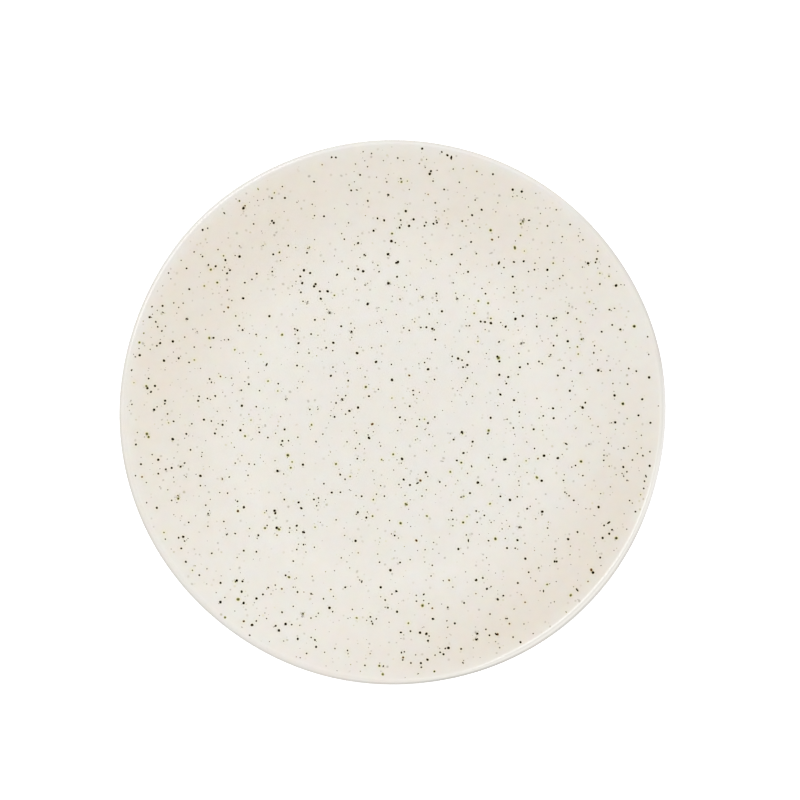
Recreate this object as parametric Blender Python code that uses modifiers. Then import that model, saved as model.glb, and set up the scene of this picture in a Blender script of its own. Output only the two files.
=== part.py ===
"""Side plate: a round coupe plate in glazed stoneware.

A fired clay body with a foot ring, a glaze coat over its face, lip and
underside, and a separate glaze coat inside the foot ring.  The foot ring's
resting face is wiped bare, which parts the two coats.

Metres, +Z up.  The origin is the centre of the foot ring's resting plane and
+Z is the axis the plate is turned on.
"""

import math

import bpy

# ------------------------------------------------------------------ dimensions
MM = 0.001

PLATE_DIAMETER = 200.0 * MM     # over the glazed lip
GLAZE = 0.35 * MM               # thickness of the fused coat
GAP = 0.3 * MM                  # clearance kept between clay and coat
SEGMENTS = 60                   # facets round the axis

# clay: eating face
WELL_HEIGHT = 9.2 * MM          # top of the clay in the middle of the well
WELL_RADIUS = 54.0 * MM         # the flat well ends and the wall starts to turn up
WALL_RADIUS = 82.0 * MM         # from here to the lip the wall runs straight
WALL_SLOPE = 0.28               # rise over run of the straight part

# clay: lip, from the wall over the crest to the underside
LIP_TURN = 0.95 * MM            # the wall turns up a little more over this length
LIP_BEVEL_IN = 0.42 * MM        # a narrow bevel that rises to the crest
LIP_TILT_IN = 26.0              # its slope, degrees
LIP_CREST = 0.27 * MM           # radius of the rounded crest
LIP_BEVEL_OUT = 0.38 * MM       # a second bevel, falling away outside the crest
LIP_TILT_OUT = 18.5             # its slope, degrees
LIP_EDGE = 0.65 * MM            # radius of the rounded outer edge

# clay: underside
FLOOR_THICKNESS = 5.0 * MM      # clay under the well
UNDERSIDE_START = 62.0 * MM     # the wall's underside starts outside the foot ring
FOOT_OUTER = 59.7 * MM          # foot ring, outside, where it meets the floor
FOOT_OUTER_BASE = 59.0 * MM     # foot ring, outside, on the table
FOOT_INNER_BASE = 54.8 * MM     # foot ring, inside, on the table
FOOT_INNER = 54.1 * MM          # foot ring, inside, where it meets the floor
RECESS_HEIGHT = 4.0 * MM        # clay ceiling inside the foot ring, at the ring
RECESS_CROWN = 0.25 * MM        # how much higher that ceiling is on the axis
FOOT_EDGE = 1.0 * MM            # rounding of the ring's two lower edges
FOOT_FILLET = 1.9 * MM          # rounding where ring and floor meet

GLAZE_LINE = 1.55 * MM          # the coats stop this far above the table
GLAZE_TAPER = 0.12 * MM         # the coats thin by this much at the glaze line

# ---------------------------------------------------------------------- colours
CLAY_COLOUR = (0.56, 0.46, 0.35, 1.0)
GLAZE_COLOUR = (0.82, 0.78, 0.69, 1.0)


# --------------------------------------------------------------- profile helpers
def smooth(u):
    u = min(1.0, max(0.0, u))
    return u * u * (3.0 - 2.0 * u)


def smooth_integral(r, start, end):
    """Integral over r of a smoothstep that runs from start to end."""
    u = min(1.0, max(0.0, (r - start) / (end - start)))
    return (end - start) * (u ** 3 - 0.5 * u ** 4) + max(0.0, r - end)


def rise(r):
    """Height of the eating face above the well at radius r, up to the lip."""
    return WALL_SLOPE * smooth_integral(r, WELL_RADIUS, WALL_RADIUS)


def steps(start, end, count):
    """count values from start to end, both included."""
    return [start + (end - start) * i / (count - 1) for i in range(count)]


def fillet(before, corner, after, radius, count):
    """Points of the arc that rounds a corner between two straight runs."""
    ux, uz = before[0] - corner[0], before[1] - corner[1]
    vx, vz = after[0] - corner[0], after[1] - corner[1]
    lu, lv = math.hypot(ux, uz), math.hypot(vx, vz)
    ux, uz, vx, vz = ux / lu, uz / lu, vx / lv, vz / lv
    half = 0.5 * math.acos(max(-1.0, min(1.0, ux * vx + uz * vz)))
    reach = radius / math.tan(half)
    bx, bz = ux + vx, uz + vz
    lb = math.hypot(bx, bz)
    out = radius / math.sin(half)
    cx, cz = corner[0] + bx / lb * out, corner[1] + bz / lb * out
    start = math.atan2(corner[1] + uz * reach - cz, corner[0] + ux * reach - cx)
    end = math.atan2(corner[1] + vz * reach - cz, corner[0] + vx * reach - cx)
    turn = (end - start + math.pi) % (2.0 * math.pi) - math.pi
    return [
        (cx + radius * math.cos(start + turn * t), cz + radius * math.sin(start + turn * t))
        for t in steps(0.0, 1.0, count)
    ]


def offset(path, distances):
    """The path moved off the clay by a distance at each point, along its normal.

    The path runs outwards over the top and back underneath, so the outside is
    on its left-hand side.  A point on the axis stays on it.
    """
    moved = []
    last = len(path) - 1
    for i, (r, z) in enumerate(path):
        runs = []
        if i > 0:
            runs.append((r - path[i - 1][0], z - path[i - 1][1]))
        if i < last:
            runs.append((path[i + 1][0] - r, path[i + 1][1] - z))
        nx = nz = 0.0
        for dr, dz in runs:
            length = math.hypot(dr, dz)
            nx += -dz / length
            nz += dr / length
        length = math.hypot(nx, nz)
        nx, nz = nx / length, nz / length
        first = runs[0]
        spread = (-first[1] * nx + first[0] * nz) / math.hypot(*first)
        if r < 1e-9:
            moved.append((0.0, z + math.copysign(distances[i], nz)))
        else:
            moved.append((r + nx * distances[i] / spread, z + nz * distances[i] / spread))
    return moved


# --------------------------------------------------------------------- profiles
def lip_path():
    """The lip, from where it leaves the wall, at (0, 0), round to the underside."""
    wall = math.degrees(math.atan(WALL_SLOPE))
    runs = (
        # length, tilt at its start and end in degrees, steps
        (LIP_TURN, wall, LIP_TILT_IN, 2),
        (LIP_BEVEL_IN, LIP_TILT_IN, LIP_TILT_IN, 1),
        (LIP_CREST * math.radians(LIP_TILT_IN + LIP_TILT_OUT), LIP_TILT_IN, -LIP_TILT_OUT, 2),
        (LIP_BEVEL_OUT, -LIP_TILT_OUT, -LIP_TILT_OUT, 1),
        (LIP_EDGE * math.radians(180.0 - wall - LIP_TILT_OUT), -LIP_TILT_OUT, wall - 180.0, 6),
    )
    r = z = 0.0
    path = [(r, z)]
    for length, start, end, count in runs:
        for i in range(count):
            tilt = math.radians(start + (end - start) * (i + 0.5) / count)
            r += math.cos(tilt) * length / count
            z += math.sin(tilt) * length / count
            path.append((r, z))
    return path


def clay_paths():
    """The clay's profile in three runs: coated outside, bare foot, recess."""
    lip = lip_path()
    wall_end = 0.5 * PLATE_DIAMETER - GAP - GLAZE - max(r for r, _ in lip)
    lip = [(wall_end + r, WELL_HEIGHT + rise(wall_end) + z) for r, z in lip]

    # eating face, from the axis to the lip
    radii = [0.0] + steps(0.5 * WELL_RADIUS, WELL_RADIUS, 2)
    radii += steps(WELL_RADIUS, WALL_RADIUS, 7)[1:]
    top = [(r, WELL_HEIGHT + rise(r)) for r in radii]

    # underside of the wall: from the lip it thickens towards the foot ring
    under = []
    low_r, low_z = lip[-1]
    depth = WELL_HEIGHT + rise(low_r) - low_z
    for r in steps(low_r, UNDERSIDE_START, 8)[1:]:
        share = smooth((low_r - r) / (low_r - FOOT_OUTER))
        under.append((r, WELL_HEIGHT + rise(r) - depth - (FLOOR_THICKNESS - depth) * share))

    # foot ring, outside: the fillet under the wall, then down to the glaze line
    tail = under[-1]
    run = (tail[1] - under[-2][1]) / (tail[0] - under[-2][0])
    shoulder = (FOOT_OUTER, tail[1] + run * 0.5 * (FOOT_OUTER - tail[0]))
    base_out = (FOOT_OUTER_BASE, 0.0)
    base_in = (FOOT_INNER_BASE, 0.0)
    ceiling = (FOOT_INNER, RECESS_HEIGHT)
    axis_low = (0.0, RECESS_HEIGHT + RECESS_CROWN)

    def on_side(upper, lower, z):
        t = (upper[1] - z) / (upper[1] - lower[1])
        return (upper[0] + (lower[0] - upper[0]) * t, z)

    shoulder_radius = min(FOOT_FILLET, 0.9 * (shoulder[1] - GLAZE_LINE))
    outer_fillet = fillet(tail, shoulder, base_out, shoulder_radius, 5)
    line_out = on_side(shoulder, base_out, GLAZE_LINE)
    coated = top + lip + under + outer_fillet + [line_out]

    foot = fillet(shoulder, base_out, base_in, FOOT_EDGE, 4)
    foot += fillet(base_out, base_in, ceiling, FOOT_EDGE, 4)

    line_in = on_side(ceiling, base_in, GLAZE_LINE)
    recess_radius = min(FOOT_FILLET, 0.9 * (RECESS_HEIGHT - GLAZE_LINE))
    recess = [line_in] + fillet(base_in, ceiling, axis_low, recess_radius, 5)
    recess += [(0.5 * FOOT_INNER, RECESS_HEIGHT + 0.75 * RECESS_CROWN), axis_low]
    return coated, foot, recess


def coat_section(path, thin_end):
    """Closed-at-the-axis section of a coat that lies on a run of the clay."""
    near = [GAP] * len(path)
    far = [GAP + GLAZE] * len(path)
    far[thin_end] -= GLAZE_TAPER
    return offset(path, far), offset(path, near)


# ---------------------------------------------------------------------- objects
def material(name, colour, roughness):
    mat = bpy.data.materials.new(name)
    mat.use_nodes = True
    shader = mat.node_tree.nodes["Principled BSDF"]
    shader.inputs["Base Color"].default_value = colour
    shader.inputs["Roughness"].default_value = roughness
    shader.inputs["Metallic"].default_value = 0.0
    return mat


def turned(name, profile, mat, collection):
    """A profile in the XZ plane, turned once round +Z."""
    mesh = bpy.data.meshes.new(name)
    points = [(r, 0.0, z) for r, z in profile]
    edges = [(i, i + 1) for i in range(len(points) - 1)]
    mesh.from_pydata(points, edges, [])
    mesh.materials.append(mat)
    obj = bpy.data.objects.new(name, mesh)
    collection.objects.link(obj)
    screw = obj.modifiers.new("Turn", "SCREW")
    screw.axis = "Z"
    screw.angle = 2.0 * math.pi
    screw.steps = SEGMENTS
    screw.render_steps = SEGMENTS
    screw.use_merge_vertices = True
    screw.merge_threshold = 0.00001
    screw.use_smooth_shade = True
    return obj


def main():
    for obj in list(bpy.data.objects):
        bpy.data.objects.remove(obj, do_unlink=True)

    plate = bpy.data.collections.new("side_plate")
    bpy.context.scene.collection.children.link(plate)

    clay = material("stoneware", CLAY_COLOUR, 0.85)
    glaze = material("cream_glaze", GLAZE_COLOUR, 0.3)
    recess_glaze = material("cream_glaze_recess", GLAZE_COLOUR, 0.35)

    coated, foot, recess = clay_paths()

    turned("stoneware_body", coated + foot + recess, clay, plate)

    outside, inside = coat_section(coated, -1)
    turned("glaze_coat", outside + inside[::-1], glaze, plate)

    outside, inside = coat_section(recess, 0)
    turned("foot_recess_glaze", inside[::-1] + outside, recess_glaze, plate)


main()
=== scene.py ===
import math
import random

import bpy
import numpy as np
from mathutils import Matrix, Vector, noise
from mathutils.bvhtree import BVHTree


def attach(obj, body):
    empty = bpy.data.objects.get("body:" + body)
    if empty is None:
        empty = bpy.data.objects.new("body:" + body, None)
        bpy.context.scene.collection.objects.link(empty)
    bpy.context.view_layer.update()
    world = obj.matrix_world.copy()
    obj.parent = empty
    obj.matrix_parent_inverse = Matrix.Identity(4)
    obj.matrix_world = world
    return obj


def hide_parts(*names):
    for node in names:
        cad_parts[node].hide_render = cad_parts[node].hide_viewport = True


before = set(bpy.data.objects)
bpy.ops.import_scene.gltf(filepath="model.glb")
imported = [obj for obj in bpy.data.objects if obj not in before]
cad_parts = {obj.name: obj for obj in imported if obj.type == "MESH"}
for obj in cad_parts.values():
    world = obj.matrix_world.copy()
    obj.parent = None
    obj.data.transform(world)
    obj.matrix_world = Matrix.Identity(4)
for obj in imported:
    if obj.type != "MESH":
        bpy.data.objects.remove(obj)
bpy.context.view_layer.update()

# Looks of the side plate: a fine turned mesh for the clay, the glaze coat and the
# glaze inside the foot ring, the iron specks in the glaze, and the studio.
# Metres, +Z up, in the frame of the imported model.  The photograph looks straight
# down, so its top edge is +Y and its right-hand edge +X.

MM = 0.001

# ------------------------------------------------------------------ the plate
PLATE_RADIUS = 100.0 * MM       # over the glazed lip
GLAZE = 0.35 * MM
GAP = 0.3 * MM
SEGMENTS = 288                  # round the axis

WELL_HEIGHT = 9.2 * MM          # top of the clay in the well
WELL_RADIUS = 54.0 * MM
WALL_RADIUS = 82.0 * MM
WALL_SLOPE = 0.28
# lip of the clay, from the wall over the crest to the underside: the wall turns up
# a little, a narrow bevel, the rounded crest, a second bevel and the rounded edge
LIP_TURN = 0.95 * MM
LIP_BEVEL_IN = 0.42 * MM
LIP_TILT_IN = 26.0
LIP_CREST = 0.27 * MM           # radius; the glaze adds 0.65
LIP_TILT_OUT = 18.5
LIP_BEVEL_OUT = 0.38 * MM
LIP_EDGE = 0.65 * MM            # radius; the glaze adds 0.65

FLOOR_THICKNESS = 5.0 * MM
UNDERSIDE_START = 62.0 * MM
FOOT_OUTER = 59.7 * MM
FOOT_OUTER_BASE = 59.0 * MM
FOOT_INNER_BASE = 54.8 * MM
FOOT_INNER = 54.1 * MM
RECESS_HEIGHT = 4.0 * MM
RECESS_CROWN = 0.25 * MM
FOOT_EDGE = 1.0 * MM
FOOT_FILLET = 1.9 * MM
GLAZE_LINE = 1.55 * MM          # the coats stop this far above the table
GLAZE_TAPER = 1.0 * MM          # they thin out over this much before it

# how far the fired plate is off true: harmonic, millimetres, where it is largest
OUTLINE_WOBBLE = ((2, 0.19, -18.0), (3, 0.12, 58.0), (4, 0.14, 34.5), (6, 0.125, 13.5), (8, 0.03, 5.0), (9, 0.05, 15.0))
HEIGHT_WOBBLE = ((2, 0.16, 70.0), (3, 0.09, 10.0), (5, 0.04, 31.0))
# the lip's inner edge: millimetres outwards, where, and the degrees it reaches and is full
LIP_WOBBLE = ((-0.36, 309.0, 25.0, 8.0), (0.40, 280.0, 18.0, 7.0), (0.17, 346.0, 32.0, 16.0), (-0.14, 119.0, 14.0, 5.0))

# ---------------------------------------------------------------------- specks
SPECKS_PER_MM2 = 0.096
SPECK_MEDIAN = 0.50 * MM        # grains at the surface of the glaze
SPECK_SPREAD = 0.61
SPECK_RANGE = (0.12 * MM, 1.08 * MM)
DEEP_SHARE = 0.37               # grains deeper in it, veiled and softer
DEEP_MEDIAN = 0.71 * MM
DEEP_SPREAD = 0.33
DEEP_RANGE = (0.22 * MM, 1.05 * MM)


# ------------------------------------------------------------ profile functions
def smooth(u):
    u = min(1.0, max(0.0, u))
    return u * u * (3.0 - 2.0 * u)


def smooth_integral(r, start, end):
    u = min(1.0, max(0.0, (r - start) / (end - start)))
    return (end - start) * (u ** 3 - 0.5 * u ** 4) + max(0.0, r - end)


def rise(r):
    """Height of the eating face above the well at radius r, up to the lip."""
    return WALL_SLOPE * smooth_integral(r, WELL_RADIUS, WALL_RADIUS)


def steps(start, end, count):
    return [start + (end - start) * i / (count - 1) for i in range(count)]


def fillet(before, corner, after, radius, count):
    ux, uz = before[0] - corner[0], before[1] - corner[1]
    vx, vz = after[0] - corner[0], after[1] - corner[1]
    lu, lv = math.hypot(ux, uz), math.hypot(vx, vz)
    ux, uz, vx, vz = ux / lu, uz / lu, vx / lv, vz / lv
    half = 0.5 * math.acos(max(-1.0, min(1.0, ux * vx + uz * vz)))
    reach = radius / math.tan(half)
    bx, bz = ux + vx, uz + vz
    lb = math.hypot(bx, bz)
    out = radius / math.sin(half)
    cx, cz = corner[0] + bx / lb * out, corner[1] + bz / lb * out
    start = math.atan2(corner[1] + uz * reach - cz, corner[0] + ux * reach - cx)
    end = math.atan2(corner[1] + vz * reach - cz, corner[0] + vx * reach - cx)
    turn = (end - start + math.pi) % (2.0 * math.pi) - math.pi
    return [
        (cx + radius * math.cos(start + turn * t), cz + radius * math.sin(start + turn * t))
        for t in steps(0.0, 1.0, count)
    ]


def line(start, end, count):
    """Points strictly between two ends."""
    return [
        (start[0] + (end[0] - start[0]) * t, start[1] + (end[1] - start[1]) * t)
        for t in steps(0.0, 1.0, count + 2)[1:-1]
    ]


def offset(path, distances):
    """The path moved along its left-hand normal.  A point on the axis stays there."""
    moved = []
    last = len(path) - 1
    for i, (r, z) in enumerate(path):
        runs = []
        if i > 0:
            runs.append((r - path[i - 1][0], z - path[i - 1][1]))
        if i < last:
            runs.append((path[i + 1][0] - r, path[i + 1][1] - z))
        nx = nz = 0.0
        for dr, dz in runs:
            length = math.hypot(dr, dz)
            nx += -dz / length
            nz += dr / length
        length = math.hypot(nx, nz)
        nx, nz = nx / length, nz / length
        if r < 1e-9:
            moved.append((0.0, z + math.copysign(distances[i], nz)))
        else:
            moved.append((r + nx * distances[i], z + nz * distances[i]))
    return moved


def lip_path(n):
    """The clay's lip, from where it leaves the wall, which is its first point."""
    wall = math.degrees(math.atan(WALL_SLOPE))
    runs = (
        (LIP_TURN, wall, LIP_TILT_IN, n(8)),
        (LIP_BEVEL_IN, LIP_TILT_IN, LIP_TILT_IN, n(5)),
        (LIP_CREST * math.radians(LIP_TILT_IN + LIP_TILT_OUT), LIP_TILT_IN, -LIP_TILT_OUT, n(11)),
        (LIP_BEVEL_OUT, -LIP_TILT_OUT, -LIP_TILT_OUT, n(5)),
        (LIP_EDGE * math.radians(180.0 - wall - LIP_TILT_OUT), -LIP_TILT_OUT, wall - 180.0, n(22)),
    )
    r = z = 0.0
    path = [(r, z)]
    for length, start, end, count in runs:
        for i in range(count):
            tilt = math.radians(start + (end - start) * (i + 0.5) / count)
            r += math.cos(tilt) * length / count
            z += math.sin(tilt) * length / count
            path.append((r, z))
    return path


def clay_paths(fine):
    """The clay's profile: coated outside, bare foot, recess, and where the lip starts.

    fine scales the steps.
    """

    def n(count):
        return max(3, int(round(count * fine)))

    lip = lip_path(n)
    wall_end = PLATE_RADIUS - GAP - GLAZE - max(r for r, _ in lip)
    lip = [(wall_end + r, WELL_HEIGHT + rise(wall_end) + z) for r, z in lip]

    radii = [0.0, 1.5 * MM] + steps(4.0 * MM, WELL_RADIUS, n(18))
    radii += steps(WELL_RADIUS, WALL_RADIUS, n(20))[1:]
    radii += steps(WALL_RADIUS, wall_end, n(11))[1:-1]
    top = [(r, WELL_HEIGHT + rise(r)) for r in radii]

    under = []
    low_r, low_z = lip[-1]
    depth = WELL_HEIGHT + rise(low_r) - low_z
    for r in steps(low_r, UNDERSIDE_START, n(30))[1:]:
        share = smooth((low_r - r) / (low_r - FOOT_OUTER))
        under.append((r, WELL_HEIGHT + rise(r) - depth - (FLOOR_THICKNESS - depth) * share))

    tail = under[-1]
    run = (tail[1] - under[-2][1]) / (tail[0] - under[-2][0])
    shoulder = (FOOT_OUTER, tail[1] + run * 0.5 * (FOOT_OUTER - tail[0]))
    base_out = (FOOT_OUTER_BASE, 0.0)
    base_in = (FOOT_INNER_BASE, 0.0)
    ceiling = (FOOT_INNER, RECESS_HEIGHT)
    axis_low = (0.0, RECESS_HEIGHT + RECESS_CROWN)

    def on_side(upper, lower, z):
        t = (upper[1] - z) / (upper[1] - lower[1])
        return (upper[0] + (lower[0] - upper[0]) * t, z)

    round_out = fillet(tail, shoulder, base_out, min(FOOT_FILLET, 0.9 * (shoulder[1] - GLAZE_LINE)), n(10))
    line_out = on_side(shoulder, base_out, GLAZE_LINE)
    coated = top + lip + under + round_out
    coated += line(round_out[-1], line_out, n(4)) + [line_out]

    foot = fillet(shoulder, base_out, base_in, FOOT_EDGE, n(9))
    edge_in = fillet(base_out, base_in, ceiling, FOOT_EDGE, n(9))
    foot += line(foot[-1], edge_in[0], n(4)) + edge_in

    line_in = on_side(ceiling, base_in, GLAZE_LINE)
    round_in = fillet(base_in, ceiling, axis_low, min(FOOT_FILLET, 0.9 * (RECESS_HEIGHT - GLAZE_LINE)), n(10))
    recess = [line_in] + line(line_in, round_in[0], n(3)) + round_in
    for r in steps(FOOT_INNER - 4.0 * MM, 1.5 * MM, n(16)):
        recess.append((r, RECESS_HEIGHT + RECESS_CROWN * (1.0 - (r / FOOT_INNER) ** 2)))
    recess.append(axis_low)
    return coated, foot, recess, len(top)


def lengths(path):
    """Distance along the path at each point."""
    total, out = 0.0, [0.0]
    for (r0, z0), (r1, z1) in zip(path, path[1:]):
        total += math.hypot(r1 - r0, z1 - z0)
        out.append(total)
    return out


def taper(path, line_first):
    """Glaze thickness along a coat, 1 to 0: rounded off where it stops on the clay."""
    run = lengths(path)
    from_line = run if line_first else [run[-1] - s for s in run]
    out = []
    for s in from_line:
        u = min(1.0, s / GLAZE_TAPER)
        out.append(math.sqrt(max(0.0, 1.0 - (1.0 - u) ** 2)))
    return out


# ------------------------------------------------------------------ the hand in it
def warp(points):
    """Firing leaves the wall a little out of round and the lip a little off level."""
    x, y, z = points[:, 0], points[:, 1], points[:, 2]
    r = np.hypot(x, y)
    a = np.arctan2(y, x)
    u = np.clip((r - 58.0 * MM) / (42.0 * MM), 0.0, 1.0)
    w = u * u * (3.0 - 2.0 * u)
    u = np.clip((r - 84.0 * MM) / (12.5 * MM), 0.0, 1.0)
    edge = u * u * (3.0 - 2.0 * u)
    dr = np.zeros_like(r)
    for k, amount, where in OUTLINE_WOBBLE:
        dr += amount * MM * np.cos(k * (a - math.radians(where)))
    dz = np.zeros_like(r)
    for k, amount, where in HEIGHT_WOBBLE:
        dz += amount * MM * np.cos(k * (a - math.radians(where)))
    # the lip isn't equally thick all round: its inner edge sits further in or out
    inner = np.clip((r - 89.0 * MM) / (7.0 * MM), 0.0, 1.0) * np.clip((99.4 * MM - r) / (1.5 * MM), 0.0, 1.0)
    dr = edge * dr
    for amount, where, far, near in LIP_WOBBLE:
        far, near = math.cos(math.radians(far)), math.cos(math.radians(near))
        u = np.clip((np.cos(a - math.radians(where)) - far) / (near - far), 0.0, 1.0)
        dr += amount * MM * u * u * (3.0 - 2.0 * u) * inner * inner * (3.0 - 2.0 * inner)
    grow = 1.0 + dr / PLATE_RADIUS
    return np.stack([x * grow, y * grow, z + w * dz], 1)


def pooled(points, seed, amount, size):
    """Uneven thickness of a melted coat: a small height at each point."""
    at = Vector((seed * 3.7, seed * 1.9, seed * 5.3))
    return np.array([noise.noise(Vector(p) / size + at) for p in points]) * amount


# ---------------------------------------------------------------------- meshes
def turned(name, path, islands, closed=False, skin=None):
    """A profile turned round +Z.

    islands are (first, last, centre, near, far): the runs of the profile, and the
    disc of the bake map on which each is laid out by its length.  closed joins the
    last point to the first.  skin is (count, seed): the first count points are the
    melted surface, and get its unevenness.
    """
    ring_of, points = [], []
    angles = np.arange(SEGMENTS) * (2.0 * math.pi / SEGMENTS)
    for r, z in path:
        if r < 1e-9:
            ring_of.append((len(points), True))
            points.append((0.0, 0.0, z))
        else:
            ring_of.append((len(points), False))
            points.extend((r * math.cos(t), r * math.sin(t), z) for t in angles)
    co = np.array(points)
    if skin:
        count, seed = skin
        top = ring_of[count][0] if count < len(ring_of) else len(points)
        u = np.clip((PLATE_RADIUS - np.hypot(co[:top, 0], co[:top, 1])) / (6.0 * MM), 0.15, 1.0)
        co[:top, 2] += u * (pooled(co[:top], seed, 0.035 * MM, 26.0 * MM) + pooled(co[:top], seed + 1, 0.010 * MM, 8.0 * MM))
    co = warp(co)

    run = lengths(path)
    faces, uvs = [], []
    spans = [(i, i + 1) for i in range(len(path) - 1)]
    if closed:
        spans.append((len(path) - 1, 0))
    for i, k in spans:
        first, last, centre, near, far = next(
            isl for isl in islands if isl[0] <= min(i, k) and max(i, k) <= isl[1]
        ) if abs(i - k) == 1 else islands[-1]
        low, high = run[first], run[last]

        def place(index, angle):
            t = (run[index] - low) / max(high - low, 1e-9)
            radius = near + (far - near) * t
            return (centre[0] + radius * math.cos(angle), centre[1] + radius * math.sin(angle))

        (a0, pole_a), (b0, pole_b) = ring_of[i], ring_of[k]
        for j in range(SEGMENTS):
            jj = (j + 1) % SEGMENTS
            t0, t1 = angles[j], angles[j] + 2.0 * math.pi / SEGMENTS
            if pole_a and pole_b:
                continue
            if pole_a:
                faces.append((a0, b0 + j, b0 + jj))
                uvs += [place(i, t0), place(k, t0), place(k, t1)]
            elif pole_b:
                faces.append((a0 + j, b0, a0 + jj))
                uvs += [place(i, t0), place(k, t0), place(i, t1)]
            else:
                faces.append((a0 + j, b0 + j, b0 + jj, a0 + jj))
                uvs += [place(i, t0), place(k, t0), place(k, t1), place(i, t1)]
    mesh = bpy.data.meshes.new(name)
    mesh.from_pydata([tuple(p) for p in co], [], faces)
    layer = mesh.uv_layers.new(name="OFBake")
    layer.data.foreach_set("uv", np.array(uvs, dtype=np.float32).ravel())
    mesh.polygons.foreach_set("use_smooth", [True] * len(mesh.polygons))
    mesh.set_sharp_from_angle(angle=math.radians(50.0))
    mesh.update()
    obj = bpy.data.objects.new(name, mesh)
    bpy.context.scene.collection.objects.link(obj)
    return obj


def mark(obj, name, path, knots):
    """A number at each point of a turned mesh, by its place along the profile."""
    at, value = zip(*knots)
    numbers = []
    for i, (r, z) in enumerate(path):
        numbers += [float(np.interp(i, at, value))] * (1 if r < 1e-9 else SEGMENTS)
    obj.data.attributes.new(name, "FLOAT", "POINT").data.foreach_set("value", numbers)


coated, foot, recess, lip_start = clay_paths(1.0)
coated_rough, foot_rough, recess_rough, _ = clay_paths(0.4)

# glaze coat: outer surface from the middle of the well over the lip and under to
# the glaze line, then the hidden inner surface back to the axis
thin_coat_and_edge_shade = taper(coated, False)
outside = offset(coated, [(GAP + GLAZE) * t - 0.03 * MM * (1.0 - t) for t in thin_coat_and_edge_shade])
thin_coat_and_edge_shade = taper(coated_rough, False)
inside = offset(coated_rough, [GAP * t - 0.12 * MM * (1.0 - t) for t in thin_coat_and_edge_shade])[::-1]
lip_index = max(range(len(outside)), key=lambda i: outside[i][0])
n_out = len(outside)
n_in = len(inside)
in_lip = n_out + max(range(n_in), key=lambda i: inside[i][0])
glaze = turned(
    "glaze_coat_fine",
    outside + inside,
    [
        (0, lip_index, (0.366, 0.366), 0.0, 0.360),
        (lip_index, n_out - 1, (0.775, 0.775), 0.2215, 0.105),
        (n_out - 1, in_lip, (0.90, 0.10), 0.02, 0.09),
        (in_lip, n_out + n_in - 1, (0.10, 0.90), 0.09, 0.0),
    ],
    skin=(lip_index, 11),
)
# the lip's steps: 8 up from the wall, 5 bevel, 11 crest, 5 bevel, 22 round the edge
mark(glaze, "lip", outside + inside, [
    (lip_start + 6, 0.0), (lip_start + 9, 1.0), (lip_start + 27, 1.0), (lip_start + 32, 0.0),
])
mark(glaze, "crest", outside + inside, [
    (lip_start + 13, 0.0), (lip_start + 15, 1.0), (lip_start + 20, 1.0), (lip_start + 22, 0.0),
])
mark(glaze, "outer_bevel", outside + inside, [
    (lip_start + 20, 0.0), (lip_start + 22, 1.0), (lip_start + 28, 1.0), (lip_start + 31, 0.0),
])
mark(glaze, "edge", outside + inside, [
    (lip_start + 26, 0.0), (lip_start + 33, 1.0), (lip_start + 47, 1.0), (lip_start + 52, 0.0),
])

# clay body: only the foot ring shows, so it has the fine steps and most of the map
body_path = coated_rough[:-1] + [coated[-1]] + foot + [recess[0]] + recess_rough[1:]
n_coat = len(coated_rough)
n_foot = n_coat + len(foot)
body = turned(
    "stoneware_body_fine",
    body_path,
    [
        (0, n_coat - 2, (0.10, 0.90), 0.0, 0.09),
        (n_coat - 2, n_foot + 1, (0.5, 0.5), 0.495, 0.30),
        (n_foot + 1, len(body_path) - 1, (0.5, 0.5), 0.26, 0.0),
    ],
)

# glaze inside the foot ring: hidden upper surface, then the surface seen from below
thin_coat_and_edge_shade = taper(recess, True)
seen = offset(recess, [(GAP + GLAZE) * t - 0.03 * MM * (1.0 - t) for t in thin_coat_and_edge_shade])
thin_coat_and_edge_shade = taper(recess_rough, True)
hidden = offset(recess_rough, [GAP * t - 0.12 * MM * (1.0 - t) for t in thin_coat_and_edge_shade])[::-1]
recess_coat = turned(
    "foot_recess_glaze_fine",
    hidden + seen,
    [
        (0, len(hidden) - 1, (0.10, 0.90), 0.0, 0.09),
        (len(hidden) - 1, len(hidden), (0.90, 0.10), 0.08, 0.09),
        (len(hidden), len(hidden) + len(seen) - 1, (0.5, 0.5), 0.47, 0.0),
    ],
)


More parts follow.
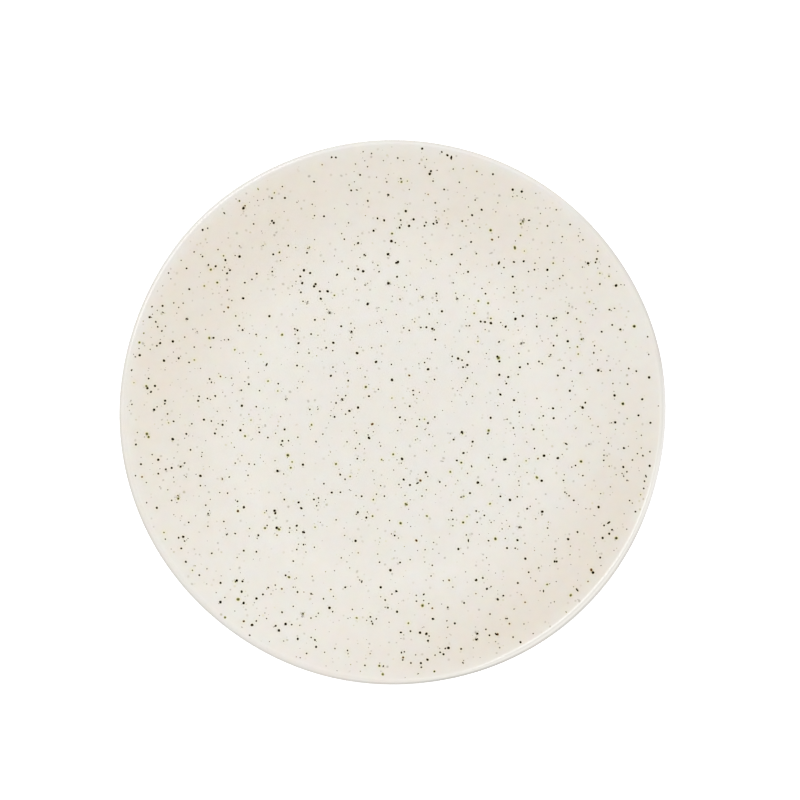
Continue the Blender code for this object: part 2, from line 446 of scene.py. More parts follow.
# ---------------------------------------------------------------------- materials
class Tree:
    """Small helper to lay out a node tree."""

    def __init__(self, name):
        self.material = bpy.data.materials.new(name)
        self.material.use_nodes = True
        self.nodes = self.material.node_tree.nodes
        self.links = self.material.node_tree.links
        self.shader = self.nodes["Principled BSDF"]
        self.place = self.nodes.new("ShaderNodeTexCoord").outputs["Object"]

    def put(self, socket, value):
        if isinstance(value, bpy.types.NodeSocket):
            self.links.new(value, socket)
        else:
            socket.default_value = value

    def noise(self, scale, detail=2.0, rough=0.5, at=None):
        node = self.nodes.new("ShaderNodeTexNoise")
        node.inputs["Scale"].default_value = scale
        node.inputs["Detail"].default_value = detail
        node.inputs["Roughness"].default_value = rough
        self.put(node.inputs["Vector"], at or self.place)
        return node.outputs["Fac"]

    def math(self, kind, a, b=None, c=None):
        node = self.nodes.new("ShaderNodeMath")
        node.operation = kind
        for socket, value in zip(node.inputs, (a, b, c)):
            if value is not None:
                self.put(socket, value)
        return node.outputs[0]

    def remap(self, value, low, high, to_low=0.0, to_high=1.0, kind="SMOOTHSTEP"):
        node = self.nodes.new("ShaderNodeMapRange")
        node.interpolation_type = kind
        for socket, given in zip(node.inputs, (value, low, high, to_low, to_high)):
            self.put(socket, given)
        return node.outputs[0]

    def mix(self, factor, a, b, kind="MIX"):
        node = self.nodes.new("ShaderNodeMix")
        node.data_type = "RGBA"
        node.blend_type = kind
        node.clamp_factor = True
        for socket, given in ((node.inputs[0], factor), (node.inputs[6], a), (node.inputs[7], b)):
            self.put(socket, given)
        return node.outputs[2]

    def bump(self, height, strength, distance, under=None):
        node = self.nodes.new("ShaderNodeBump")
        node.inputs["Strength"].default_value = strength
        node.inputs["Distance"].default_value = distance
        self.put(node.inputs["Height"], height)
        if under is not None:
            self.put(node.inputs["Normal"], under)
        return node.outputs[0]

    def attribute(self, name):
        node = self.nodes.new("ShaderNodeAttribute")
        node.attribute_name = name
        return node.outputs["Fac"]

    def facing(self, x, y, r, azimuth, far, near):
        """1 within near degrees of an azimuth, 0 beyond far degrees."""
        a = math.radians(azimuth)
        along = self.math("ADD", self.math("MULTIPLY", x, math.cos(a)), self.math("MULTIPLY", y, math.sin(a)))
        along = self.math("DIVIDE", along, self.math("MAXIMUM", r, 1e-4))
        return self.remap(along, math.cos(math.radians(far)), math.cos(math.radians(near)))

    def shifted(self, by):
        node = self.nodes.new("ShaderNodeVectorMath")
        node.operation = "ADD"
        self.put(node.inputs[0], self.place)
        node.inputs[1].default_value = (by, by, by)
        return node.outputs[0]

    def grey(self, value):
        node = self.nodes.new("ShaderNodeCombineXYZ")
        for socket in node.inputs:
            self.put(socket, value)
        return node.outputs[0]

    def position(self):
        split = self.nodes.new("ShaderNodeSeparateXYZ")
        self.put(split.inputs[0], self.place)
        return split.outputs


CREAM = (0.798, 0.767, 0.704, 1.0)
CREAM_WARM = (0.794, 0.754, 0.684, 1.0)
CREAM_COOL = (0.798, 0.775, 0.721, 1.0)
PINKISH = (1.017, 0.985, 0.993, 1.0)
GREENISH = (0.983, 1.015, 1.007, 1.0)
YELLOWISH = (1.006, 1.004, 0.968, 1.0)
GREYISH = (0.994, 0.996, 1.032, 1.0)
# painted highlight on the lip
LIP_HIGHLIGHT = (0.815, 0.792, 0.735, 1.0)
# painted shade of the wall, upper left and lower right
WALL_SHADE_UPPER = (0.974, 0.935, 0.890, 1.0)
WALL_SHADE_LOWER = (0.948, 0.909, 0.868, 1.0)
# painted light over the turn from well to wall
TURN_LIT = (1.020, 1.020, 1.022, 1.0)
WELL_DEEP = (0.993, 0.993, 0.992, 1.0)
# painted shade and painted light on the lip's outer edge
EDGE_SHADE = (0.835, 0.838, 0.850, 1.0)
EDGE_LIT = (0.885, 0.872, 0.845, 1.0)
# painted shade on the crest, painted highlight and shade on the outer bevel
CREST_SHADE = (0.970, 0.970, 0.974, 1.0)
BEVEL_HIGHLIGHT = (1.055, 1.053, 1.056, 1.0)
BEVEL_SHADE = (0.905, 0.915, 0.925, 1.0)
# painted highlight colour on the lip and its edge
LIP_COOL_HIGHLIGHT = (0.996, 1.000, 1.030, 1.0)
EDGE_COOL_HIGHLIGHT = (0.993, 1.018, 1.042, 1.0)
LIP_SHADE = (0.981, 0.979, 0.986, 1.0)


def glaze_material(name, stained, rings):
    """Glossy cream glaze.  stained multiplies in the stain that the iron leaves in it."""
    t = Tree(name)
    x, y, z = t.position()
    r = t.math("SQRT", t.math("ADD", t.math("MULTIPLY", x, x), t.math("MULTIPLY", y, y)))
    # cloudy tone of a melted glaze: broad, then small drifts
    broad = t.remap(t.noise(38.0, 3.0, 0.55), 0.30, 0.70)
    small = t.remap(t.noise(170.0, 2.0, 0.5), 0.30, 0.70)
    tone = t.mix(broad, CREAM_WARM, CREAM_COOL)
    tone = t.mix(0.5, CREAM, tone)
    tone = t.mix(t.math("MULTIPLY", small, 0.35), tone, CREAM)
    # and a fine mottle: pinkish to greenish, yellowish to greyish, lighter to darker
    mottle = t.mix(t.remap(t.noise(185.0, 3.0, 0.6), 0.28, 0.72, kind="LINEAR"), PINKISH, GREENISH)
    tone = t.mix(1.0, tone, mottle, "MULTIPLY")
    mottle = t.mix(t.remap(t.noise(205.0, 3.0, 0.6, at=t.shifted(2.3)), 0.28, 0.72, kind="LINEAR"), YELLOWISH, GREYISH)
    tone = t.mix(1.0, tone, mottle, "MULTIPLY")
    grey = t.remap(t.noise(215.0, 3.0, 0.6, at=t.shifted(4.1)), 0.28, 0.72, 0.982, 1.018, "LINEAR")
    tone = t.mix(1.0, tone, t.grey(grey), "MULTIPLY")
    if not rings:
        # painted shade: the wall darker and warmer on two opposite sides, upper left and lower right
        patchy = t.math("ADD", 0.90, t.math("MULTIPLY", t.noise(16.0, 2.0, 0.5), 0.20))
        upper = t.math("ADD", t.facing(x, y, r, 128.0, 102.0, 10.0), t.math("MULTIPLY", t.facing(x, y, r, 52.0, 32.0, 8.0), 0.32))
        upper = t.math("SUBTRACT", upper, t.math("MULTIPLY", t.facing(x, y, r, 92.0, 24.0, 6.0), 0.34))
        upper = t.math("MULTIPLY", upper, t.remap(r, 46.0 * MM, 88.0 * MM))
        upper = t.math("MULTIPLY", upper, t.remap(r, 93.5 * MM, 99.0 * MM, 1.0, 0.05))
        tone = t.mix(t.math("MULTIPLY", upper, patchy), tone, t.mix(1.0, tone, WALL_SHADE_UPPER, "MULTIPLY"))
        lower = t.math("SUBTRACT", t.facing(x, y, r, 320.0, 76.0, 8.0), t.math("MULTIPLY", t.facing(x, y, r, 4.0, 26.0, 6.0), 0.26))
        lower = t.math("MULTIPLY", t.math("MAXIMUM", lower, 0.0), t.remap(r, 57.0 * MM, 92.0 * MM))
        lower = t.math("MULTIPLY", lower, t.remap(r, 93.0 * MM, 98.6 * MM, 1.0, 0.40))
        tone = t.mix(t.math("MULTIPLY", lower, patchy), tone, t.mix(1.0, tone, WALL_SHADE_LOWER, "MULTIPLY"))
        # painted light: the turn from well to wall paler, most on the upper right and lower left
        east, north = t.math("ADD", x, 1.5 * MM), t.math("ADD", y, 4.0 * MM)
        off = t.math("SQRT", t.math("ADD", t.math("MULTIPLY", east, east), t.math("MULTIPLY", north, north)))
        turn = t.math("MULTIPLY", t.remap(off, 48.5 * MM, 58.0 * MM), t.remap(off, 58.0 * MM, 68.0 * MM, 1.0, 0.0))
        sides = t.math("MAXIMUM", t.facing(x, y, r, 30.0, 42.0, 14.0), t.facing(x, y, r, 245.0, 70.0, 32.0))
        turn = t.math("MULTIPLY", turn, t.math("MULTIPLY_ADD", sides, 0.72, 0.28))
        tone = t.mix(turn, tone, t.mix(1.0, tone, TURN_LIT, "MULTIPLY"))
        tone = t.mix(t.remap(r, 18.0 * MM, 44.0 * MM, 1.0, 0.0), tone, t.mix(1.0, tone, WELL_DEEP, "MULTIPLY"))
        # painted highlight and shade on the lip: paler on the lower right, cooler on the upper side, a shade darker on
        # the lower left
        painted_lip_highlight = t.math("MULTIPLY", t.attribute("lip"), t.facing(x, y, r, 322.0, 58.0, 24.0))
        tone = t.mix(painted_lip_highlight, tone, LIP_HIGHLIGHT)
        cool_highlight = t.math("MULTIPLY", t.attribute("lip"), t.facing(x, y, r, 105.0, 72.0, 38.0))
        cool_highlight = t.math("MULTIPLY", cool_highlight, t.remap(r, 97.3 * MM, 98.7 * MM))
        tone = t.mix(cool_highlight, tone, t.mix(1.0, tone, LIP_COOL_HIGHLIGHT, "MULTIPLY"))
        shade = t.math("MULTIPLY", t.attribute("lip"), t.facing(x, y, r, 225.0, 52.0, 22.0))
        tone = t.mix(shade, tone, t.mix(1.0, tone, LIP_SHADE, "MULTIPLY"))
        # painted shade and highlight along the lip: a darker line on the crest, a paler outer bevel on the lower right,
        # a darker one on the right and upper right
        crest_line_shade = t.math("MULTIPLY", t.attribute("crest"), t.facing(x, y, r, 338.0, 58.0, 28.0))
        tone = t.mix(crest_line_shade, tone, t.mix(1.0, tone, CREST_SHADE, "MULTIPLY"))
        bevel = t.math("MULTIPLY", t.attribute("outer_bevel"), t.facing(x, y, r, 306.0, 54.0, 36.0))
        tone = t.mix(bevel, tone, t.mix(1.0, tone, BEVEL_HIGHLIGHT, "MULTIPLY"))
        bevel = t.math("MAXIMUM", t.facing(x, y, r, 2.0, 14.0, 5.0), t.math("MULTIPLY", t.facing(x, y, r, 38.0, 20.0, 9.0), 0.65))
        bevel = t.math("MULTIPLY", t.attribute("outer_bevel"), bevel)
        tone = t.mix(bevel, tone, t.mix(1.0, tone, BEVEL_SHADE, "MULTIPLY"))
        # painted shade: the lip's outer edge darker all round, most on the lower side and the upper right
        thin_coat_and_edge_shade = t.math("ADD", t.facing(x, y, r, 287.0, 36.0, 6.0), t.facing(x, y, r, 25.0, 27.0, 9.0))
        thin_coat_and_edge_shade = t.math("ADD", thin_coat_and_edge_shade, t.math("MULTIPLY", t.facing(x, y, r, 220.0, 52.0, 18.0), 0.75))
        thin_coat_and_edge_shade = t.math("ADD", thin_coat_and_edge_shade, t.math("MULTIPLY", t.facing(x, y, r, 314.0, 26.0, 8.0), 0.5))
        thin_coat_and_edge_shade = t.math("ADD", thin_coat_and_edge_shade, t.math("MULTIPLY", t.facing(x, y, r, 160.0, 26.0, 10.0), 0.3))
        thin_coat_and_edge_shade = t.math("MINIMUM", thin_coat_and_edge_shade, 1.0)
        thin_coat_and_edge_shade = t.math("MULTIPLY", t.attribute("edge"), t.math("ADD", t.math("MULTIPLY", thin_coat_and_edge_shade, 0.72), 0.28))
        tone = t.mix(thin_coat_and_edge_shade, tone, t.mix(1.0, tone, EDGE_SHADE, "MULTIPLY"))
        # painted shade: darker still on the edge at the lower side
        dark = t.math("MULTIPLY", t.attribute("edge"), t.facing(x, y, r, 286.0, 14.0, 5.0))
        tone = t.mix(dark, tone, t.mix(1.0, tone, BEVEL_SHADE, "MULTIPLY"))
        # painted highlight on the edge: cooler on the lower right and upper left
        cool_highlight = t.math("MAXIMUM", t.facing(x, y, r, 322.0, 30.0, 14.0), t.math("MULTIPLY", t.facing(x, y, r, 122.0, 40.0, 20.0), 0.75))
        tone = t.mix(t.math("MULTIPLY", t.attribute("edge"), cool_highlight), tone, t.mix(1.0, tone, EDGE_COOL_HIGHLIGHT, "MULTIPLY"))
        # painted light: the edge paler on the right
        tone = t.mix(t.math("MULTIPLY", t.attribute("edge"), t.facing(x, y, r, 352.0, 20.0, 7.0)), tone, EDGE_LIT)
    if stained:
        iron = t.nodes.new("ShaderNodeVertexColor")
        iron.layer_name = "iron"
        tone = t.mix(1.0, tone, iron.outputs["Color"], "MULTIPLY")
    t.put(t.shader.inputs["Base Color"], tone)
    # gloss drifts a little with the melt
    gloss = t.remap(t.noise(60.0, 3.0, 0.6), 0.25, 0.75, 0.11, 0.17)
    t.put(t.shader.inputs["Roughness"], gloss)
    t.shader.inputs["Metallic"].default_value = 0.0
    t.shader.inputs["IOR"].default_value = 1.5
    # faint dimple of the surface, and turning lines that telegraph through underneath
    normal = t.bump(t.noise(620.0, 2.0, 0.5), 0.10, 0.05 * MM)
    if rings:
        wave = t.math("SINE", t.math("MULTIPLY", t.math("ADD", r, t.math("MULTIPLY", t.noise(30.0, 2.0), 2.0 * MM)), 2.0 * math.pi / (2.6 * MM)))
        normal = t.bump(wave, 0.10, 0.05 * MM, normal)
    t.put(t.shader.inputs["Normal"], normal)
    return t.material


def iron_material(name):
    """Iron oxide grains: almost black, matt, a little mottled."""
    t = Tree(name)
    iron = t.nodes.new("ShaderNodeVertexColor")
    iron.layer_name = "iron"
    crust = t.remap(t.noise(5200.0, 2.0, 0.6), 0.35, 0.70)
    rust = t.mix(1.0, iron.outputs["Color"], (1.5, 1.25, 1.0, 1.0), "MULTIPLY")
    t.put(t.shader.inputs["Base Color"], t.mix(crust, iron.outputs["Color"], rust))
    t.put(t.shader.inputs["Roughness"], t.remap(crust, 0.0, 1.0, 0.42, 0.62))
    t.shader.inputs["Metallic"].default_value = 0.0
    t.shader.inputs["Specular IOR Level"].default_value = 0.06
    t.put(t.shader.inputs["Normal"], t.bump(t.noise(3800.0, 2.0, 0.5), 0.15, 0.02 * MM))
    return t.material


def clay_material(name):
    """Bare buff stoneware: fine grog, small iron spots, toasted next to the glaze."""
    t = Tree(name)
    z = t.position()[2]
    grain = t.noise(2600.0, 3.0, 0.6)
    cloud = t.noise(90.0, 3.0, 0.55)
    tone = t.mix(t.remap(cloud, 0.3, 0.7), (0.50, 0.400, 0.295, 1.0), (0.60, 0.500, 0.385, 1.0))
    tone = t.mix(t.remap(grain, 0.42, 0.72), tone, (0.68, 0.585, 0.47, 1.0))
    grog = t.nodes.new("ShaderNodeTexVoronoi")
    grog.inputs["Scale"].default_value = 900.0
    t.put(grog.inputs["Vector"], t.place)
    spot = t.remap(grog.outputs["Distance"], 0.10, 0.24, 1.0, 0.0)
    pick = t.remap(t.noise(420.0, 1.0), 0.56, 0.62)
    tone = t.mix(t.math("MULTIPLY", spot, pick), tone, (0.16, 0.10, 0.06, 1.0))
    toast = t.remap(t.math("ADD", z, t.math("MULTIPLY", t.math("SUBTRACT", t.noise(240.0, 2.0), 0.5), 0.8 * MM)), 0.7 * MM, 1.5 * MM)
    tone = t.mix(t.math("MULTIPLY", toast, 0.6), tone, (0.42, 0.27, 0.16, 1.0))
    t.put(t.shader.inputs["Base Color"], tone)
    t.put(t.shader.inputs["Roughness"], t.remap(grain, 0.3, 0.7, 0.74, 0.92))
    t.shader.inputs["Metallic"].default_value = 0.0
    t.shader.inputs["IOR"].default_value = 1.45
    pits = t.math("MULTIPLY", spot, -0.6)
    normal = t.bump(t.math("ADD", grain, pits), 0.35, 0.10 * MM)
    t.put(t.shader.inputs["Normal"], normal)
    return t.material


cream = glaze_material("cream_glaze", False, False)
cream_stain = glaze_material("cream_glaze_stained", True, False)
recess_cream = glaze_material("recess_glaze", False, True)
recess_stain = glaze_material("recess_glaze_stained", True, True)
iron_grain = iron_material("iron_grain")
clay = clay_material("stoneware")

glaze.data.materials.append(cream)
recess_coat.data.materials.append(recess_cream)
body.data.materials.append(clay)


# ------------------------------------------------------------------------- specks
class Surface:
    """The smooth surface of a mesh: nearest point and its smooth normal."""

    def __init__(self, obj, keep):
        mesh = obj.data
        mesh.calc_loop_triangles()
        self.co = [v.co.copy() for v in mesh.vertices]
        self.normals = [v.normal.copy() for v in mesh.vertices]
        self.tris = [tuple(t.vertices) for t in mesh.loop_triangles if keep(t.normal, t.center)]
        self.tree = BVHTree.FromPolygons(self.co, self.tris, all_triangles=True)

    def at(self, point):
        spot, _, index, _ = self.tree.find_nearest(point)
        a, b, c = self.tris[index]
        pa, pb, pc = self.co[a], self.co[b], self.co[c]
        area = (pb - pa).cross(pc - pa)
        total = area.length_squared
        wb = (spot - pa).cross(pc - pa).dot(area) / total
        wc = (pb - pa).cross(spot - pa).dot(area) / total
        normal = self.normals[a] * (1.0 - wb - wc) + self.normals[b] * wb + self.normals[c] * wc
        return spot, normal.normalized()


def speck_kind(rng):
    """One grain: size, is it deep, its colour, the stain round it, reach of that, glow, kernel.

    The stain is a factor on the glaze's own colour, the grain a colour of its own.
    The glow is the yellow that the iron bleeds further out: a factor on the blue.
    The kernel is the share of the grain that hasn't melted into the glaze.
    """
    deep = rng.random() < DEEP_SHARE
    median, spread, (low, high) = (
        (DEEP_MEDIAN, DEEP_SPREAD, DEEP_RANGE) if deep else (SPECK_MEDIAN, SPECK_SPREAD, SPECK_RANGE)
    )
    size = 0.0
    while not low <= size <= high:
        size = median * math.exp(rng.gauss(0.0, spread))
    draw = rng.random()
    if draw < 0.87:
        dark, kernel = rng.uniform(0.2, 0.75), 1.0
        brown = min(0.012, max(0.0, 0.018 - 20.0 * size))
        core = (0.0210 * dark + brown, 0.0130 * dark + 0.15 * brown, 0.0038 * dark)
        stain, glow = (0.89, 0.84, 0.54), 0.961
        reach = rng.uniform(1.12, 1.30)
    elif draw < 0.97:
        dark, kernel = rng.uniform(0.15, 1.0), 0.84
        core = (0.098 * dark, 0.102 * dark, 0.035 * dark)
        stain, glow = (0.89, 0.89, 0.50), 0.895
        reach = rng.uniform(1.45, 2.0)
    else:
        dark, kernel = rng.uniform(0.6, 1.3), 0.88
        core = (0.060 * dark, 0.026 * dark, 0.008 * dark)
        stain, glow = (0.92, 0.78, 0.52), 0.93
        reach = rng.uniform(1.35, 1.70)
    return size, deep, core, stain, reach, glow, kernel


class Lenses:
    """Low lenses on a surface, each a closed body, gathered into one mesh."""

    def __init__(self, name, material):
        self.name, self.material = name, material
        self.verts, self.normals, self.colours, self.faces, self.cells = [], [], [], [], []

    def add(self, surface, spot, outline, rings):
        """rings are (share of the outline, colour, lift), the first one the middle."""
        base = len(self.verts)
        sides = len(outline)
        at, up = surface.at(spot)
        self.verts.append(at + up * rings[0][2])
        self.normals.append(up)
        self.colours.append(rings[0][1])
        layout = [(0.0, 0.0)]
        turns = [2.0 * math.pi * j / sides for j in range(sides)]
        for share, colour, lift in rings[1:]:
            k = 0.45 * share / rings[-1][0]
            for phi, step in zip(turns, outline):
                here, out = surface.at(spot + step * share)
                self.verts.append(here + out * lift)
                self.normals.append(out)
                self.colours.append(colour)
                layout.append((k * math.cos(phi), k * math.sin(phi)))
        # the underside, a low cone inside the glaze
        tip = len(self.verts)
        self.verts.append(at - up * 60.0 * UM)
        self.normals.append(-up)
        self.colours.append(rings[-1][1])
        last = 1 + (len(rings) - 2) * sides
        cell = []
        for j in range(sides):
            k = (j + 1) % sides
            patches = [(0, 1 + j, 1 + k)]
            for level in range(len(rings) - 2):
                lo, hi = 1 + level * sides, 1 + (level + 1) * sides
                patches.append((lo + j, hi + j, hi + k, lo + k))
            for patch in patches:
                self.faces.append(tuple(base + v for v in patch))
                cell += [layout[v] for v in patch]
            self.faces.append((base + last + k, base + last + j, tip))
            cell += [(0.43 + 0.05 * math.cos(a), 0.43 + 0.05 * math.sin(a)) for a in (turns[k], turns[j])] + [(0.43, 0.43)]
        self.cells.append(cell)

    def build(self):
        mesh = bpy.data.meshes.new(self.name)
        mesh.from_pydata([tuple(v) for v in self.verts], [], self.faces)
        # bake map: one cell of a grid for each lens
        across = int(math.ceil(math.sqrt(len(self.cells))))
        layer = mesh.uv_layers.new(name="OFBake")
        layer.data.foreach_set("uv", np.array([
            ((i % across + 0.5 + u) / across, (i // across + 0.5 + v) / across)
            for i, cell in enumerate(self.cells) for u, v in cell
        ], dtype=np.float32).ravel())
        iron = mesh.color_attributes.new("iron", "FLOAT_COLOR", "POINT")
        iron.data.foreach_set("color", np.array([(*c, 1.0) for c in self.colours], dtype=np.float32).ravel())
        mesh.polygons.foreach_set("use_smooth", [True] * len(mesh.polygons))
        mesh.normals_split_custom_set_from_vertices([tuple(n) for n in self.normals])
        mesh.materials.append(self.material)
        mesh.update()
        obj = bpy.data.objects.new(self.name, mesh)
        bpy.context.scene.collection.objects.link(obj)
        return obj


UM = 0.001 * MM


def specks(place, surface, places, seed, stain_material):
    """Iron grains that melted into the glaze, the stains round them, and their yellow glow."""
    rng = random.Random(seed)
    grains = Lenses("iron_specks_" + place, iron_grain)
    stains = Lenses("iron_stains_" + place, stain_material)
    glows = Lenses("iron_glow_" + place, stain_material)
    clear = (1.0, 1.0, 1.0)
    for spot, normal in places:
        size, deep, core, stain, reach, glow, kernel = speck_kind(rng)
        sides = 6 if size < 0.26 * MM else 9 if size < 0.5 * MM else 13
        side = normal.orthogonal().normalized()
        other = normal.cross(side)
        turn = rng.uniform(0.0, math.pi)
        oval = 1.0 + abs(rng.gauss(0.0, 0.13))
        if rng.random() < 0.03:
            oval = rng.uniform(1.5, 2.4)
        lobes = [(k, rng.gauss(0.0, 0.06 / k ** 0.5), rng.uniform(0.0, 2.0 * math.pi)) for k in (2, 3, 4, 5)]
        outline = []
        for j in range(sides):
            phi = 2.0 * math.pi * j / sides
            far = 0.5 * size * (1.0 + sum(a * math.cos(k * phi + p) for k, a, p in lobes))
            u, v = math.cos(phi) * far * math.sqrt(oval), math.sin(phi) * far / math.sqrt(oval)
            outline.append(
                side * (math.cos(turn) * u - math.sin(turn) * v) + other * (math.sin(turn) * u + math.cos(turn) * v)
            )
        if deep:
            veil = 0.60 + 0.355 * rng.random() ** 0.8
            shade = tuple(veil + (1.0 - veil) * c for c in core)
            shade = (shade[0], shade[1] * 0.988, shade[2] * (0.945 if glow > 0.95 else 0.84))
            edge = tuple(0.6 + 0.4 * c for c in shade)
            stains.add(surface, spot, outline, (
                (0.0, shade, 5.0 * UM), (0.45, shade, 5.0 * UM), (1.0, edge, 4.0 * UM), (1.4, clear, -4.0 * UM),
            ))
        else:
            fringe = tuple(0.5 * c + 0.45 * s for c, s in zip(core, stain))
            stains.add(surface, spot, outline, (
                (0.0, fringe, 5.0 * UM), (0.98, fringe, 5.0 * UM),
                (1.0 + 0.35 * (reach - 1.0), stain, 4.0 * UM), (reach, clear, -4.0 * UM),
            ))
            grains.add(surface, spot, [step * kernel for step in outline], (
                (0.0, core, 10.0 * UM), (0.60, core, 9.5 * UM), (0.97, core, 7.0 * UM), (1.0, core, 3.0 * UM),
            ))
            far = 3.20 * MM / size
            if size > 0.42 * MM and all(surface.at(spot + step * far)[1].dot(normal) > 0.998 for step in outline):
                # fades out to about 1.6 mm from the middle of the grain, clear of any bend
                near = (1.0, 0.998, glow)
                middle = (1.0, 0.999, 0.5 + 0.5 * glow)
                glows.add(surface, spot, outline, (
                    (0.0, near, 2.0 * UM), (1.40 * MM / size, near, 2.0 * UM),
                    (2.20 * MM / size, middle, 1.5 * UM), (far, clear, -1.5 * UM),
                ))
    return grains.build(), stains.build(), glows.build()


def scattered(surface, seed, inner, outer, height):
    """Points spread evenly over a ring as seen from above, set on the surface."""
    rng = random.Random(seed)
    count = int(round(SPECKS_PER_MM2 / MM ** 2 * math.pi * (outer ** 2 - inner ** 2)))
    places = []
    for _ in range(count):
        r = math.sqrt(rng.uniform(inner ** 2, outer ** 2))
        a = rng.uniform(0.0, 2.0 * math.pi)
        places.append(surface.at(Vector((r * math.cos(a), r * math.sin(a), height(r)))))
    return places


def under_height(r):
    return WELL_HEIGHT - FLOOR_THICKNESS + rise(r) + 3.0 * MM * smooth((r - 60.0 * MM) / (38.0 * MM))


face = Surface(glaze, lambda n, c: n.z > 0.2 and c.z > 9.6 * MM)
face_specks, face_stains, face_glow = specks(
    "face", face,
    scattered(face, 2024, 0.0, 97.3 * MM, lambda r: WELL_HEIGHT + rise(r) + GAP + GLAZE),
    7, cream_stain,
)
under = Surface(glaze, lambda n, c: n.z < 0.15 and c.z > 1.8 * MM and math.hypot(c.x, c.y) > 59.0 * MM)
under_specks, under_stains, under_glow = specks(
    "underside", under,
    scattered(under, 31, 61.5 * MM, 98.2 * MM, under_height),
    8, cream_stain,
)
below = Surface(recess_coat, lambda n, c: n.z < -0.5 and c.z < 3.95 * MM)
recess_specks, recess_stains, recess_glow = specks(
    "recess", below,
    scattered(below, 47, 0.0, 51.5 * MM, lambda r: RECESS_HEIGHT - GAP - GLAZE),
    9, recess_stain,
)

# -------------------------------------------------------------- tie to the frame
for piece, node, slot in (
    (glaze, "glaze_coat", "cream_glaze"),
    (body, "stoneware_body", "stoneware"),
    (recess_coat, "foot_recess_glaze", "recess_glaze"),
    (face_specks, None, "cream_glaze"),
    (face_stains, None, "cream_glaze"),
    (face_glow, None, "cream_glaze"),
    (under_specks, None, "cream_glaze"),
    (under_stains, None, "cream_glaze"),
    (under_glow, None, "cream_glaze"),
    (recess_specks, None, "recess_glaze"),
    (recess_stains, None, "recess_glaze"),
    (recess_glow, None, "recess_glaze"),
):
    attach(piece, "root")
    if node:
        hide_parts(node)


# ------------------------------------------------------------------------- studio
def floor(name, height, shader):
    size = 12.0
    mesh = bpy.data.meshes.new(name)
    cuts = steps(-size, size, 13)
    points = [(x, y, height) for y in cuts for x in cuts]
    faces = [
        (j * 13 + i, j * 13 + i + 1, (j + 1) * 13 + i + 1, (j + 1) * 13 + i)
        for j in range(12) for i in range(12)
    ]
    mesh.from_pydata(points, [], faces)
    t = Tree(name)
    colour, light = shader
    tone = t.mix(t.noise(3.0, 2.0), tuple(c * 0.985 for c in colour[:3]) + (1.0,), colour)
    t.put(t.shader.inputs["Base Color"], tone)
    t.shader.inputs["Roughness"].default_value = 0.9
    t.shader.inputs["Emission Color"].default_value = (1.0, 1.0, 1.0, 1.0)
    t.shader.inputs["Emission Strength"].default_value = light
    mesh.materials.append(t.material)
    obj = bpy.data.objects.new(name, mesh)
    bpy.context.scene.collection.objects.link(obj)
    return obj


# the table top that the camera sees is burnt out to white; the one that throws
# light back at the plate is the same white card at its real brightness
white_table = floor("table_white", -0.0002, ((0.80, 0.80, 0.80, 1.0), 0.55))
white_table.visible_diffuse = False
white_table.visible_glossy = False
white_table.visible_transmission = False
bounce_table = floor("table_bounce", -0.0006, ((0.86, 0.855, 0.84, 1.0), 0.0))
bounce_table.visible_camera = False

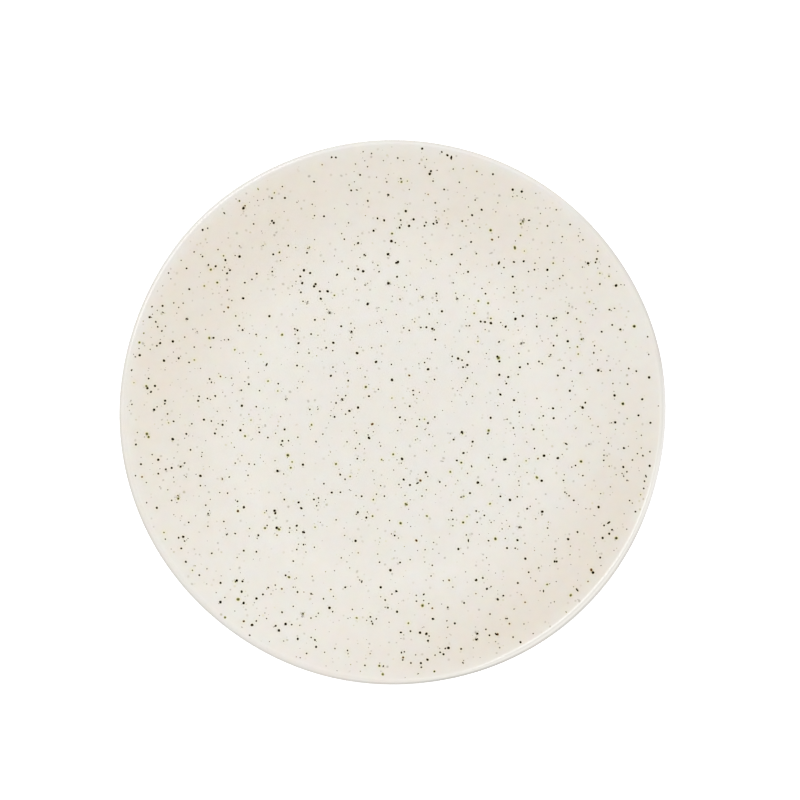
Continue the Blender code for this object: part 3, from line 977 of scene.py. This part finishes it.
def tent(overhead, middle, low, horizon):
    """White studio tent: its brightness by the angle off vertical.  The camera sees white.

    low and horizon are (brightness, how much more on the brighter side, azimuth of it).
    """
    world = bpy.data.worlds.new("studio")
    world.use_nodes = True
    bpy.context.scene.world = world
    nodes, links = world.node_tree.nodes, world.node_tree.links
    way = nodes.new("ShaderNodeSeparateXYZ")
    links.new(nodes.new("ShaderNodeTexCoord").outputs["Generated"], way.inputs[0])

    def fill(socket, value):
        if isinstance(value, bpy.types.NodeSocket):
            links.new(value, socket)
        else:
            socket.default_value = value

    def combine(kind, a, b, c=0.0):
        node = nodes.new("ShaderNodeMath")
        node.operation = kind
        for socket, value in zip(node.inputs, (a, b, c)):
            fill(socket, value)
        return node.outputs[0]

    def lopsided(value, more, azimuth):
        a = math.radians(azimuth)
        along = combine("MULTIPLY_ADD", way.outputs[0], more * math.cos(a), value)
        return combine("MAXIMUM", combine("MULTIPLY_ADD", way.outputs[1], more * math.sin(a), along), 0.0)

    level = overhead
    for angle, value in ((32.0, middle), (50.0, lopsided(*low)), (70.0, lopsided(*horizon))):
        step = nodes.new("ShaderNodeMapRange")
        step.interpolation_type = "SMOOTHSTEP"
        links.new(way.outputs[2], step.inputs["Value"])
        step.inputs["From Min"].default_value = math.cos(math.radians(angle - 6.0))
        step.inputs["From Max"].default_value = math.cos(math.radians(angle + 6.0))
        fill(step.inputs["To Min"], level)
        fill(step.inputs["To Max"], value)
        level = step.outputs[0]
    seen = nodes.new("ShaderNodeMix")
    seen.data_type = "FLOAT"
    links.new(nodes.new("ShaderNodeLightPath").outputs["Is Camera Ray"], seen.inputs[0])
    links.new(level, seen.inputs[2])
    seen.inputs[3].default_value = 1.0
    background = nodes["Background"]
    background.inputs["Color"].default_value = (1.0, 1.0, 1.0, 1.0)
    links.new(seen.outputs[0], background.inputs["Strength"])


def softbox(name, azimuth, off_vertical, distance, width, height, radiance, colour=(1.0, 1.0, 1.0)):
    """A softbox aimed at the plate.  azimuth is from +X, towards +Y."""
    lamp = bpy.data.lights.new(name, "AREA")
    lamp.shape = "RECTANGLE"
    lamp.size, lamp.size_y = width, height
    lamp.energy = radiance * math.pi * width * height
    lamp.color = colour
    obj = bpy.data.objects.new(name, lamp)
    a, p = math.radians(azimuth), math.radians(off_vertical)
    away = Vector((math.cos(a) * math.sin(p), math.sin(a) * math.sin(p), math.cos(p)))
    obj.location = away * distance + Vector((0.0, 0.0, 0.012))
    obj.rotation_euler = away.to_track_quat("Z", "Y").to_euler()
    bpy.context.scene.collection.objects.link(obj)
    return obj


tent(0.66, 1.24, (0.97, -0.28, 147.0), (0.905, 0.30, 90.0))
softbox("softbox_upper_left", 137.0, 44.0, 1.5, 1.10, 0.30, 3.6)

scene = bpy.context.scene
scene.view_settings.view_transform = "Standard"
scene.view_settings.look = "None"
scene.view_settings.exposure = 0.0
scene.view_settings.gamma = 1.0

# ------------------------------------------------------------------------- camera
lens = bpy.data.cameras.new("camera")
lens.type = "PERSP"
lens.lens = 100.0
lens.sensor_width = 36.0
lens.sensor_fit = "HORIZONTAL"
camera = bpy.data.objects.new("camera", lens)
camera.location = (2.61 * MM, 4.51 * MM, 0.8317)
camera.rotation_euler = (0.0, 0.0, 0.0)
scene.collection.objects.link(camera)
scene.camera = camera
